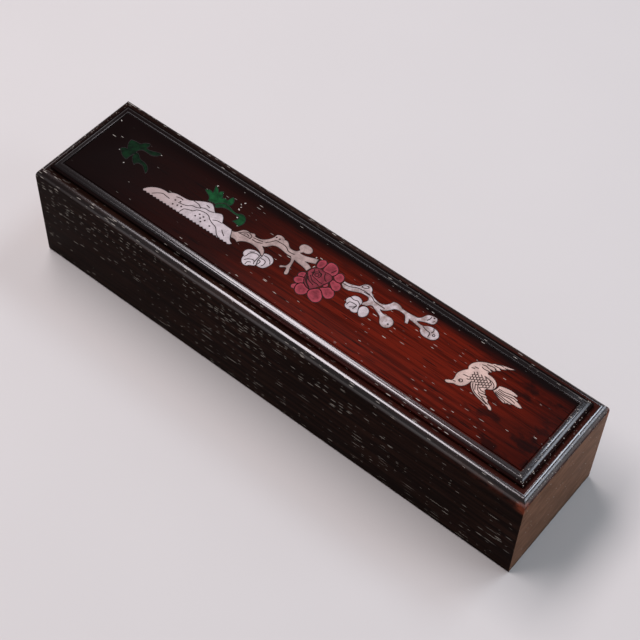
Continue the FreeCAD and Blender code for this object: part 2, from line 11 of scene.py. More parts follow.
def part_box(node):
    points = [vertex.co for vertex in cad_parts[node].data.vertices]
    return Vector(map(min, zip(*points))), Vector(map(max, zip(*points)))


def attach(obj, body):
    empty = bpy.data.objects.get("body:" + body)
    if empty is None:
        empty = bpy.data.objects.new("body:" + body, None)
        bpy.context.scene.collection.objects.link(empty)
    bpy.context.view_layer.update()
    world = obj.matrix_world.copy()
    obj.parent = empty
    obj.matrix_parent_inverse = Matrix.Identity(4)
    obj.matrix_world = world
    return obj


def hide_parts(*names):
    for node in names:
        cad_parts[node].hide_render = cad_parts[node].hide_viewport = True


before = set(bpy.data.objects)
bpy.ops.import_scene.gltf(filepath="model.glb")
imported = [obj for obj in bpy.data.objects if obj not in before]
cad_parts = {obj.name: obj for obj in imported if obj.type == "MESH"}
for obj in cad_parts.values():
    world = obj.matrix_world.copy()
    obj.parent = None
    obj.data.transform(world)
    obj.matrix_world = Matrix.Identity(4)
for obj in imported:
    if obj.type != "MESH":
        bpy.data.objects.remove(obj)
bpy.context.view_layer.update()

bl_info = {
    "name": "Inlaid ink box",
    "version": (1, 0, 0),
    "blender": (4, 5, 0),
    "location": "View3D > Sidebar > Ink box",
    "description": "Dresses a long hardwood box for an ink stick and an inkstone",
    "category": "Object",
}

MM = 0.001
LID_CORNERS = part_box("lid_board")
WALL_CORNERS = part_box("front_wall")
LID_TOP = LID_CORNERS[1].z / MM
WALL_TOP = WALL_CORNERS[1].z / MM
HALF_LENGTH = WALL_CORNERS[1].x / MM
HALF_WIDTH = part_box("back_wall")[1].y / MM
INLAY_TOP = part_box("inlay_rock")[1].z / MM

# The mouldings, in millimetres: a height above the floor, and insets from the box's outer faces
BEAD_FOOT = WALL_TOP - 3.6
BEAD_INSET = 2.45
LID_BEAD_INSET = 4.75
QUIRK_INSET = 7.25
FIELD_INSET = 7.75
FIELD_LENGTH = 2 * (HALF_LENGTH - FIELD_INSET)
FIELD_WIDTH = 2 * (HALF_WIDTH - FIELD_INSET)

# The drawing of the inlay, in millimetres: the field that it was drawn on, its shift and the
# heart of its peony
DRAWN_LENGTH = 192.4
DRAWN_WIDTH = 31.6
DRAWN_ALONG = -2.03
DRAWN_ACROSS = 2.82
HEART = (4.4, -1.5)

# Cells of the wood's pores along, across and up, in millimetres
PORE_WIDTH = 0.44
STREAK_WIDTH = 0.42
LID_PORE = (2.8, 0.36, 0.36)
LID_DASH = (7.5, 0.6, 0.6)
END_DOT = (0.62, 0.55, 0.55)
LID_END_DOT = (0.6, 0.55, 0.55)

# Carving, in millimetres
RING_DEPTHS = (0.1, 0.24)
CLEAR_OF_EDGE = 0.12
BANK_CLEAR_OF_EDGE = 0.1
DOT_RADIUS = 0.32
DOT_FADE = 0.26
EDGE_FADE = 0.5

# Width of the eased edges, in metres, and the angles that tell flat, curved and sharp apart
WALL_EASE = 0.12 * MM
LID_EASE = 0.08 * MM
INSIDE_EASE = 0.3 * MM
FLAT_ANGLE = math.radians(0.5)
CORNER_ANGLE = math.radians(40)
WOOD_CREASE = math.radians(28)
STONE_CREASE = math.radians(50)

CHIP_SIZE = 0.55 * MM
CHIP_SEED = 4
FLOOR_HALF = 3.0


# Sizes and colours that a user may change

colour_property = partial(bpy.props.FloatVectorProperty, subtype="COLOR", min=0, max=1)
length_property = partial(bpy.props.FloatProperty, unit="LENGTH", min=0)


class BoxWoodSettings(bpy.types.PropertyGroup):
    """Colours and polish of the walls."""
    dark: colour_property(
        name="Dark wood", description="Colour of the walls between the pores",
        default=(0.0085, 0.0036, 0.0026))
    brown: colour_property(
        name="Brown wood", description="Colour of the paler bands of grain",
        default=(0.026, 0.0105, 0.0068))
    pore: colour_property(
        name="Filled pore", description="Colour of the pale wax in the pores",
        default=(0.56, 0.52, 0.45))
    ledge: colour_property(
        name="Ledge", description="Colour of the flat ledge beside the lid",
        default=(0.035, 0.0085, 0.006))
    # The end faces' colour is the end grain's own browner tone, brightened by a painted reflection of a
    # brown table
    end: colour_property(
        name="End wood with painted reflection", description="Colour of the smooth end faces",
        default=(0.235, 0.125, 0.078))
    worn: colour_property(
        name="Worn corner", description="Colour of bare wood where corners are rubbed",
        default=(0.42, 0.09, 0.04))
    pore_length: length_property(
        name="Pore length", description="Length of a short pore along the grain",
        default=3.4 * MM)
    streak_length: length_property(
        name="Streak length", description="Length of the long pores near the foot",
        default=11.0 * MM)


class LidWoodSettings(bpy.types.PropertyGroup):
    """Colours of the lid's shaded polish."""
    shade: colour_property(
        name="Shade", description="Colour of the dark end and the far edge of the lid",
        default=(0.0055, 0.0026, 0.0024))
    deep: colour_property(
        name="Deep red", description="Colour between the shade and the bright red",
        default=(0.025, 0.0037, 0.0022))
    glow: colour_property(
        name="Bright red", description="Colour of the brightest part of the lid",
        default=(0.108, 0.0085, 0.003))
    glow_start: bpy.props.FloatProperty(
        name="Red starts", description="Place along the lid where the bright red is half way up",
        default=-5 * MM, unit="LENGTH")
    glow_end: bpy.props.FloatProperty(
        name="Red ends", description="Place along the lid where the bright red is half way down",
        default=86 * MM, unit="LENGTH")
    dark_edge: length_property(
        name="Dark edge", description="Width of the black band along the far edge of the field",
        default=4.2 * MM)


class InlaySettings(bpy.types.PropertyGroup):
    """Colours and carving of the soapstone pieces."""
    cream: colour_property(
        name="Cream stone", description="Colour of the rock, the blossoms and the petal",
        default=(0.52, 0.455, 0.455))
    tan: colour_property(
        name="Tan stone", description="Colour of the branches and the rock's thin end",
        default=(0.33, 0.245, 0.22))
    warm: colour_property(
        name="Warm stone", description="Colour of the bird",
        default=(0.6, 0.43, 0.365))
    pink: colour_property(
        name="Pink stone", description="Colour of the peony",
        default=(0.22, 0.034, 0.046))
    green: colour_property(
        name="Green stone", description="Colour of the leaves and stems",
        default=(0.005, 0.048, 0.014))
    ink: colour_property(
        name="Engraved line", description="Colour of the engraved lines",
        default=(0.016, 0.009, 0.008))
    line_width: length_property(
        name="Line width", description="Width of an engraved line",
        default=0.46 * MM)
    line_depth: length_property(
        name="Line depth", description="Depth of an engraved line",
        default=0.12 * MM)
    edge_drop: length_property(
        name="Edge drop", description="How far a piece's edge is rounded down",
        default=0.14 * MM)
    edge_reach: length_property(
        name="Edge reach", description="How far the rounding reaches in from the edge",
        default=0.45 * MM)
    spacing: length_property(
        name="Carving spacing", description="Distance between the points of a carved face",
        default=0.34 * MM)
    joint_radius: length_property(
        name="Glue line radius", description="Radius of the dark bead round each piece",
        default=0.16 * MM)


class StageSettings(bpy.types.PropertyGroup):
    """Camera, floor and lights."""
    camera_place: bpy.props.FloatVectorProperty(
        name="Camera place", description="Place of the camera",
        default=(0.19447, -0.24342, 0.4348), subtype="TRANSLATION")
    camera_turn: bpy.props.FloatVectorProperty(
        name="Camera turn", description="Turn of the camera about X, Y and Z",
        default=(math.radians(37.0149), math.radians(-1.2413), math.radians(39.3883)),
        subtype="EULER")
    lens: bpy.props.FloatProperty(
        name="Lens", description="Focal length of the camera, in millimetres",
        default=84.375, min=1)
    floor: colour_property(
        name="Floor", description="Colour of the floor",
        default=(0.62, 0.6, 0.57))
    key_power: bpy.props.FloatProperty(
        name="Main light", description="Strength of the main light", default=11.0, min=0)
    end_power: bpy.props.FloatProperty(
        name="End light", description="Strength of the small cool light behind the box",
        default=3.8, min=0)
    side_power: bpy.props.FloatProperty(
        name="Side light", description="Strength of the broad cool light beyond the right end",
        default=2.6, min=0)
    sky: bpy.props.FloatProperty(
        name="Room light", description="Strength of the even light all round",
        default=0.16, min=0)


# Node trees

def math_step(operation):
    """A method that adds one Math node."""
    def method(self, *values):
        return self.math(operation, *values)
    return method


class Signal:
    """One socket, with arithmetic that adds Math nodes to its tree."""
    __add__ = __radd__ = math_step("ADD")
    __mul__ = __rmul__ = math_step("MULTIPLY")
    __sub__ = math_step("SUBTRACT")
    __truediv__ = math_step("DIVIDE")
    __gt__ = math_step("GREATER_THAN")
    __lt__ = math_step("LESS_THAN")
    __pow__ = math_step("POWER")
    __abs__ = math_step("ABSOLUTE")
    largest = math_step("MAXIMUM")
    smallest = math_step("MINIMUM")

    def __init__(self, builder, socket):
        self.builder = builder
        self.socket = socket

    def __rsub__(self, other):
        return self * -1 + other

    def math(self, operation, *values):
        inputs = dict(enumerate((self,) + values))
        return self.builder.add("ShaderNodeMath", {"operation": operation}, inputs).out()

    def rise(self, low, high):
        """Smooth step from 0 at low to 1 at high."""
        start, end = (0.0, 1.0) if high > low else (1.0, 0.0)
        node = self.builder.add("ShaderNodeMapRange", {"interpolation_type": "SMOOTHSTEP"}, {
            "Value": self, "From Min": min(low, high), "From Max": max(low, high),
            "To Min": start, "To Max": end})
        return node.out()


class Made:
    """One node that has been added."""

    def __init__(self, builder, node):
        self.builder = builder
        self.node = node

    def out(self, name=0):
        return Signal(self.builder, self.node.outputs[name])


class Builder:
    """Adds nodes to one tree."""

    def __init__(self, tree):
        self.tree = tree

    def add(self, kind, choices=None, inputs=None):
        node = self.tree.nodes.new(kind)
        for name, value in (choices or {}).items():
            setattr(node, name, value)
        for name, value in (inputs or {}).items():
            if isinstance(value, Signal):
                self.tree.links.new(value.socket, node.inputs[name])
            else:
                node.inputs[name].default_value = value
        return Made(self, node)


class Finish(Builder):
    """A material that is being made. Places are in millimetres on the object."""

    def __init__(self, name):
        self.colour = None
        self.material = bpy.data.materials.new(name)
        self.material.use_nodes = True
        super().__init__(self.material.node_tree)
        self.tree.nodes.clear()
        spot = self.add("ShaderNodeTexCoord").out("Object")
        self.spot = self.vector("DIVIDE", spot, (MM, MM, MM))
        parts = self.add("ShaderNodeSeparateXYZ", None, {0: self.spot})
        self.x = parts.out(0)
        self.y = parts.out(1)
        self.z = parts.out(2)

    def vector(self, operation, first, second):
        return self.add("ShaderNodeVectorMath", {"operation": operation}, {0: first, 1: second}).out()

    def stretched(self, sizes, shift=(0, 0, 0), bend=None):
        """Places divided by sizes, so that a pattern has cells of that size."""
        return self.vector("ADD", self.vector("DIVIDE", bend or self.spot, sizes), shift)

    def cloud(self, sizes, shift=(0, 0, 0), detail=3.0, roughness=0.5):
        """Noise from 0 to 1 with lumps of the sizes."""
        return self.add("ShaderNodeTexNoise", None, {
            "Vector": self.stretched(sizes, shift), "Scale": 1.0, "Detail": detail,
            "Roughness": roughness}).out("Fac")

    def grain_bend(self, amount, sizes):
        """Places pushed about slowly, so that long patterns waver."""
        noise = self.add("ShaderNodeTexNoise", None, {
            "Vector": self.stretched(sizes), "Scale": 1.0, "Detail": 1.0}).out("Color")
        middle = self.vector("SUBTRACT", noise, (0.5, 0.5, 0.5))
        return self.vector("ADD", self.spot, self.vector("MULTIPLY", middle, amount))

    def flecks(self, sizes, share, shift=(0, 0, 0), fill=0.42, bend=None):
        """Long spots scattered in cells of the sizes; share is the part of the cells that has one."""
        cell = self.add("ShaderNodeTexVoronoi", {"feature": "F1"}, {
            "Vector": self.stretched(sizes, shift, bend), "Scale": 1.0, "Randomness": 0.9})
        pick = self.add("ShaderNodeSeparateColor", None, {0: cell.out("Color")})
        chosen = share > pick.out(0) if isinstance(share, Signal) else pick.out(0) < share
        reach = pick.out(1) * fill + fill * 0.25
        body = (1 - cell.out("Distance") / reach).rise(0.0, 0.45)
        return body * chosen * (pick.out(2) * 0.6 + 0.4)

    def inset(self):
        """How far in from the nearest outer face of the box."""
        return (HALF_LENGTH - abs(self.x)).smallest(HALF_WIDTH - abs(self.y))

    def wear(self):
        """How much of the polish is left: less along the far side and toward the left end."""
        far = self.y.rise(5, 15) * self.x.rise(HALF_LENGTH - 8, HALF_LENGTH - 16)
        left = self.x.rise(-60, -95)
        return (1 - far * 0.7) * (1 - left * 0.5)

    def mix(self, factor, first, second):
        """Second over first by factor; either may be a signal or a plain colour."""
        first, second = (value if isinstance(value, Signal) else (*value, 1.0)
                         for value in (first, second))
        return self.add("ShaderNodeMix", {"data_type": "RGBA"}, {0: factor, 6: first, 7: second}).out(2)

    def paint(self, factor, colour):
        """Lays one more colour over the rest by factor."""
        self.colour = self.mix(factor, self.colour, colour)

    def attribute(self, name):
        return self.add("ShaderNodeAttribute", {"attribute_name": name}).out("Fac")

    def surface(self, roughness, height, bump, depth, specular=0.5, coat=0.0):
        """Joins the values to the shader and gives back the material."""
        normal = self.add("ShaderNodeBump", None, {
            "Strength": bump, "Distance": depth, "Height": height}).out()
        shader = self.add("ShaderNodeBsdfPrincipled", None, {
            "Base Color": self.colour, "Roughness": roughness, "Specular IOR Level": specular,
            "Normal": normal, "Coat Weight": coat, "Coat Roughness": 0.2, "Coat IOR": 1.85}).out()
        self.add("ShaderNodeOutputMaterial", None, {"Surface": shader})
        return self.material


# Wood

def wall_finish(name, end=False):
    """Near-black hardwood. The pores run along the side walls, and show as dots on the end walls."""
    wood = bpy.context.scene.box_wood
    make = Finish(name)
    bead = make.z.rise(BEAD_FOOT - 0.3, BEAD_FOOT + 0.6)
    level = make.z.rise(WALL_TOP - 0.3, WALL_TOP - 0.1)
    ledge = level * make.inset().rise(BEAD_INSET - 0.25, BEAD_INSET + 0.25)
    bend = make.grain_bend((2.0, 0.8, 0.8), (60, 20, 20))

    bands = make.cloud((30, 1.6, 1.6), detail=4)
    lines = make.cloud((9, 0.22, 0.22), (3, 1, 7), detail=2)
    make.colour = make.mix(bands.rise(0.38, 0.72), wood.dark, wood.brown)
    make.paint(lines.rise(0.48, 0.72) * 0.6, wood.dark)
    make.paint(make.x.rise(-10, -100) * 0.5, wood.dark)

    crowd = make.cloud((26, 4, 4), (5, 2, 1), detail=3).rise(0.38, 0.66)
    upper = make.z.rise(16, 32) * make.x.rise(60, -20)
    share = crowd * (upper * 0.55 + 0.18) + 0.07
    short = make.flecks((wood.pore_length / MM, PORE_WIDTH, PORE_WIDTH), share, fill=0.38, bend=bend)
    low = make.z.rise(30, 4) * make.x.rise(-70, 30)
    long = make.flecks((wood.streak_length / MM, STREAK_WIDTH, STREAK_WIDTH), low * 0.24 + 0.02,
                       (0.3, 0.6, 0.1), fill=0.36, bend=bend)
    dots = make.flecks(END_DOT, bead * 0.26 + 0.015, (0.7, 0.2, 0.4), fill=0.46)
    pores = (dots if end else (short * 0.9).largest(long)) * (1 - ledge * 0.8)

    if end:
        face = abs(make.x).rise(HALF_LENGTH - 0.5, HALF_LENGTH - 0.1) * (1 - bead)
        soft = make.cloud((4, 7, 2.2), (1, 8, 2), detail=4)
        fine = make.cloud((0.6, 0.5, 0.5), (4, 4, 4), detail=2)
        # Smooth end face: end grain tone, with a painted reflection of a brown table in its brightness
        smooth = make.mix(soft.rise(0.3, 0.75), Vector(wood.end) * 0.66, wood.end)
        smooth = make.mix(fine.rise(0.5, 0.8) * 0.3, smooth, Vector(wood.end) * 0.4)
        # Painted shade toward the foot of the end face, near the floor
        smooth = make.mix(make.z.rise(3.5, 0.5) * 0.4, smooth, wood.dark)
        make.paint(face, smooth)
    make.paint(ledge * make.x.rise(-10, 60) * 0.85, wood.ledge)

    reach = HALF_LENGTH + HALF_WIDTH
    corner = (make.x - make.y).rise(reach - 4.5, reach - 1.0)
    small = (make.x + make.y).rise(reach - 3.0, reach - 1.2) * 0.5
    height = make.z.rise(WALL_TOP - 7, WALL_TOP - 3.5) * make.z.rise(WALL_TOP - 0.8, WALL_TOP - 2.0)
    rub = make.cloud((3, 3, 3), (9, 9, 9), detail=4).rise(0.3, 0.62)
    lower_bead = make.z.rise(WALL_TOP - 5.2, WALL_TOP - 3.7) * make.z.rise(WALL_TOP - 0.8, WALL_TOP - 2.6)
    near = make.x.rise(60, HALF_LENGTH)
    worn = (corner.largest(small) * height * rub).largest(lower_bead * rub * near * 0.12)
    make.paint(worn * 0.8, wood.worn)
    make.paint(pores * 0.95, wood.pore)
    # Painted shade along the foot of the walls, where they meet the floor
    make.paint(make.z.rise(1.6, 0.2) * 0.5, wood.dark)

    patches = make.cloud((14, 8, 8), (2, 5, 3), detail=3)
    rough = 0.5 - bead * 0.24 + patches * 0.12 + pores * 0.2
    relief = lines * 0.25 * (1 - bead * 0.85) - pores * (1 - bead * 0.5)
    crest = make.z.rise(WALL_TOP - 2.8, WALL_TOP - 1.3)
    shine = crest * (1 - ledge) * (0.75 + patches * 0.4) * (1 - pores * 0.5) * make.wear()
    return make.surface(rough, relief, 0.35, 0.12 * MM, 0.012, shine.smallest(1.0))


def lid_finish():
    """Shaded polish: bright red toward one end, nearly black at the other and along the far edge."""
    wood = bpy.context.scene.box_wood
    lid = bpy.context.scene.lid_wood
    make = Finish("shaded_red_polish")
    wander = make.cloud((24, 5, 5), (1, 2, 3), detail=3) - 0.5
    x = make.x + wander * 26
    y = make.y + wander * 4
    start, end = lid.glow_start / MM, lid.glow_end / MM
    far = HALF_WIDTH - FIELD_INSET
    edge = lid.dark_edge / MM
    lit = y.rise(far - 0.6, far - edge - 1.5)
    inner = x.rise(start - 30, start + 26) * x.rise(end + 26, end - 26) * lit
    outer = x.rise(-95, 5) * lit

    bend = make.grain_bend((2.0, 0.6, 0.6), (34, 8, 8))
    bands = make.cloud((40, 1.3, 1.3), (6, 0, 2), detail=4)
    lines = make.cloud((11, 0.3, 0.3), (3, 5, 7), detail=3)
    dashes = make.flecks(LID_DASH, 0.26, (0.2, 0.9, 0.5), fill=0.45, bend=bend)
    bright = make.mix(bands.rise(0.36, 0.6), Vector(lid.glow) * 0.5, lid.glow)
    make.colour = make.mix(outer, lid.shade, lid.deep)
    make.paint(inner, bright)
    make.paint(lines.rise(0.5, 0.7) * 0.6, lid.shade)
    make.paint(dashes * 0.8, lid.shade)
    blots = make.cloud((9, 5, 5), (8, 2, 6), detail=4).rise(0.5, 0.62) * make.x.rise(45, 88)
    make.paint(blots * 0.75, lid.shade)

    field_x = abs(make.x).rise(HALF_LENGTH - QUIRK_INSET + 0.3, HALF_LENGTH - QUIRK_INSET - 0.1)
    field_y = abs(make.y).rise(HALF_WIDTH - QUIRK_INSET + 0.3, HALF_WIDTH - QUIRK_INSET - 0.1)
    bead = 1 - field_x * field_y
    end_bead = 1 - field_x
    rim = make.mix(inner * 0.7, lid.shade, lid.deep)
    make.paint(bead * 0.95, rim)
    crowd = make.cloud((20, 6, 6), (3, 3, 1), detail=2).rise(0.42, 0.66)
    share = (crowd * 0.16 + 0.03) * (make.x.rise(-70, 30) * 0.8 + 0.2)
    short = make.flecks(LID_PORE, share, (0.4, 0.1, 0.8), fill=0.36, bend=bend)
    dots = make.flecks(LID_END_DOT, 0.26, (0.1, 0.7, 0.3), fill=0.46) * end_bead * make.x.rise(0, 60)
    pores = (short * (1 - end_bead)).largest(dots)
    make.paint(pores * 0.8, wood.pore)

    patches = make.cloud((20, 8, 8), (7, 7, 1), detail=3)
    rough = 0.36 + patches * 0.16 - bead * 0.12 + pores * 0.2
    relief = (lines * 0.3 - dashes * 0.5) * (1 - bead * 0.85) - pores * (1 - bead * 0.5)
    inset = make.inset()
    crest = inset.rise(LID_BEAD_INSET, LID_BEAD_INSET + 0.4)
    crest = crest * inset.rise(QUIRK_INSET + 0.1, QUIRK_INSET - 0.1)
    shine = crest * (0.75 + patches * 0.35) * (1 - pores * 0.5) * make.wear()
    return make.surface(rough, relief, 0.3, 0.1 * MM, 0.02, shine.smallest(1.0))


def plain_finish(name, pale, dark):
    """Unpolished wood inside the box."""
    make = Finish(name)
    bands = make.cloud((30, 1.3, 1.3), (2, 3, 1), detail=4)
    lines = make.cloud((12, 0.3, 0.3), (7, 2, 6), detail=3)
    make.colour = make.mix(bands.rise(0.3, 0.7), dark, pale)
    make.paint(lines.rise(0.5, 0.75) * 0.5, Vector(dark) * 0.6)
    pores = make.flecks((4.0, 0.35, 0.35), 0.25, (0.5, 0.2, 0.8))
    make.paint(pores * 0.5, Vector(dark) * 0.35)
    rough = 0.55 + lines * 0.2
    return make.surface(rough, lines * 0.4 - pores, 0.4, 0.15 * MM, 0.3)


# Stone and ink

def thin_end(make):
    """Tan over the thin left end of the rock."""
    make.paint(make.x.rise(-44, -62) * 0.75, bpy.context.scene.inlay.tan)


def toward_heart(make):
    """Deeper pink toward the heart of the peony."""
    deep = Vector(bpy.context.scene.inlay.pink) * 0.4
    x, y = on_lid([HEART])[0]
    along, across = make.x - x, make.y - y
    gap = (along * along + across * across) ** 0.5
    make.paint(gap.rise(8.5, 4.0) * 0.7, deep)


def soapstone(name, pale, deep, cloud_size, pale_rim=0.0, shading=None):
    """Soapstone with soft clouds, thin veins, engraved lines, a rim that may be pale and painted shade
    toward its edge.
    """
    inlay = bpy.context.scene.inlay
    make = Finish(name)
    clouds = make.cloud((cloud_size,) * 3, (5, 1, 9), detail=5, roughness=0.6)
    make.colour = make.mix(clouds.rise(0.32, 0.68), deep, pale)
    veins = abs(make.cloud((4.5, 3.0, 3.0), (8, 3, 4), detail=4) - 0.5).rise(0.022, 0.0)
    make.paint(veins * 0.35, deep * 0.55)
    specks = make.flecks((0.5, 0.4, 0.4), 0.12, (2, 4, 6), fill=0.4)
    make.paint(specks * 0.4, deep * 0.5)
    if shading:
        shading(make)
    edge = make.attribute("edge")
    rim = (edge ** 0.35).rise(0.4, 0.8) * pale_rim
    make.paint(rim, pale * 1.5)
    # Painted shade: each piece darkens toward its edge, where it rounds down into the joint
    make.paint(edge.rise(0.4, 1.0) * 0.45, deep * 0.5)
    line = make.attribute("line").rise(0.08, 0.5)
    make.paint(line * 0.94, inlay.ink)
    rough = 0.42 + clouds * 0.18 + line * 0.3
    return make.surface(rough, clouds - specks * 0.4, 0.15, 0.1 * MM, 0.05)


def line_finish():
    """Dark lacquer that fills the joint round each inlay piece."""
    make = Finish("dark_joint_lacquer")
    clouds = make.cloud((2.0, 2.0, 2.0), detail=3)
    make.colour = make.mix(clouds, (0.004, 0.0025, 0.0025), (0.012, 0.006, 0.005))
    return make.surface(0.4 + clouds * 0.2, clouds, 0.2, 0.05 * MM, 0.2)


def chip_finish():
    """Pale filler that is left where slivers of green stone have gone."""
    make = Finish("pale_filler")
    clouds = make.cloud((0.5, 0.5, 0.5), detail=3)
    make.colour = make.mix(clouds, (0.2, 0.18, 0.15), (0.5, 0.48, 0.43))
    return make.surface(0.5 + clouds * 0.2, clouds, 0.3, 0.05 * MM)


def slate_finish():
    """Dark grey-green slate, darker and a little smoother in the pool."""
    make = Finish("inkstone_slate")
    clouds = make.cloud((14, 9, 5), (3, 1, 2), detail=6, roughness=0.6)
    fine = make.cloud((0.7, 0.7, 0.3), (1, 6, 2), detail=3)
    make.colour = make.mix(clouds.rise(0.3, 0.7), (0.018, 0.02, 0.022), (0.05, 0.052, 0.05))
    make.paint(fine.rise(0.45, 0.75) * 0.4, (0.085, 0.085, 0.078))
    specks = make.flecks((0.8, 0.8, 0.4), 0.1, (4, 2, 7), fill=0.3)
    make.paint(specks * 0.6, (0.16, 0.15, 0.12))
    pool = make.x.rise(-66, -72) * make.z.rise(33, 30)
    make.paint(pool * 0.7, (0.006, 0.006, 0.007))
    rough = 0.5 + clouds * 0.15 - pool * 0.2
    return make.surface(rough, clouds * 0.4 + fine, 0.3, 0.12 * MM, 0.4)


def ink_finish():
    """Pressed soot and glue, slightly glossy, with a rubbed end."""
    make = Finish("pressed_ink")
    clouds = make.cloud((9, 5, 5), (3, 8, 2), detail=5)
    fine = make.cloud((0.5, 0.5, 0.5), (6, 1, 2), detail=3)
    make.colour = make.mix(clouds.rise(0.3, 0.7), (0.006, 0.006, 0.007), (0.016, 0.015, 0.016))
    cracks = abs(make.cloud((5, 3, 3), (1, 1, 5), detail=4) - 0.5).rise(0.012, 0.0)
    make.paint(cracks * 0.5, (0.035, 0.032, 0.03))
    rubbed = make.x.rise(84, 89)
    make.paint(rubbed * 0.6, (0.03, 0.028, 0.027))
    rough = 0.34 + clouds * 0.2 + rubbed * 0.25
    return make.surface(rough, fine * 0.5 - cracks, 0.25, 0.08 * MM, 0.5)


# Meshes

def dress(node, finish):
    """Gives a CAD node its finish."""
    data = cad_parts[node].data
    data.materials.clear()
    data.materials.append(finish)


def merged_copy(node):
    """The node's shape with its loose triangles joined."""
    shape = bmesh.new()
    shape.from_mesh(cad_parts[node].data)
    bmesh.ops.remove_doubles(shape, verts=shape.verts, dist=0.001 * MM)
    return shape


def set_creases(shape, crease):
    """Marks as sharp the edges that turn by more than the crease angle."""
    for edge in shape.edges:
        if len(edge.link_faces) == 2:
            edge.smooth = edge.calc_face_angle() < crease


def new_piece(name, shape, body, finish, nodes=(), slot=None):
    """Object at the origin made from a bmesh, riding on its body."""
    mesh = bpy.data.meshes.new(name)
    shape.to_mesh(mesh)
    shape.free()
    place_piece(name, mesh, body, finish, nodes, slot)


def place_piece(name, mesh, body, finish, nodes=(), slot=None):
    mesh.materials.clear()
    mesh.materials.append(finish)
    piece = bpy.data.objects.new(name, mesh)
    bpy.context.scene.collection.objects.link(piece)
    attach(piece, body)
    if nodes:
        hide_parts(*nodes)


def eased_copy(node, name, width, body, finish, slot, keep_sharp=None):
    """A copy of the node with its long edges eased, standing for it."""
    shape = merged_copy(node)
    bmesh.ops.dissolve_limit(shape, angle_limit=FLAT_ANGLE, verts=shape.verts,
                             edges=shape.edges, delimit={"NORMAL"})
    corners = [edge for edge in shape.edges
               if len(edge.link_faces) == 2 and edge.calc_face_angle() > CORNER_ANGLE
               and not (keep_sharp and keep_sharp(edge))]
    bmesh.ops.bevel(shape, geom=corners, offset=width, segments=2, profile=0.5,
                    affect="EDGES", clamp_overlap=True)
    for face in shape.faces:
        face.smooth = True
    set_creases(shape, WOOD_CREASE)
    new_piece(name, shape, body, finish, [node], slot)


# Engraved lines, read on the flat top of the lid, in millimetres

def arc(centre_x, centre_y, radius, start, end, flat=1.0, lean=0.0):
    """Part of an ellipse, in degrees. Flat scales its second axis and lean turns it."""
    points = []
    turn = math.radians(lean)
    for step in range(9):
        angle = math.radians(start + (end - start) * step / 8)
        u = radius * math.cos(angle)
        v = radius * flat * math.sin(angle)
        points.append((centre_x + u * math.cos(turn) - v * math.sin(turn),
                       centre_y + u * math.sin(turn) + v * math.cos(turn)))
    return points


def scales(left, right, low, high, pitch):
    """Small arcs in columns, each column half a step along from the last, as on a bird's back."""
    arcs = []
    for column in range(int((right - left) / (pitch * 0.7)) + 1):
        start = low + (column % 2) * pitch / 2
        for row in range(int((high - start) / pitch) + 1):
            arcs.append(arc(left + column * pitch * 0.7, start + row * pitch, pitch / 2, -85, 85))
    return arcs


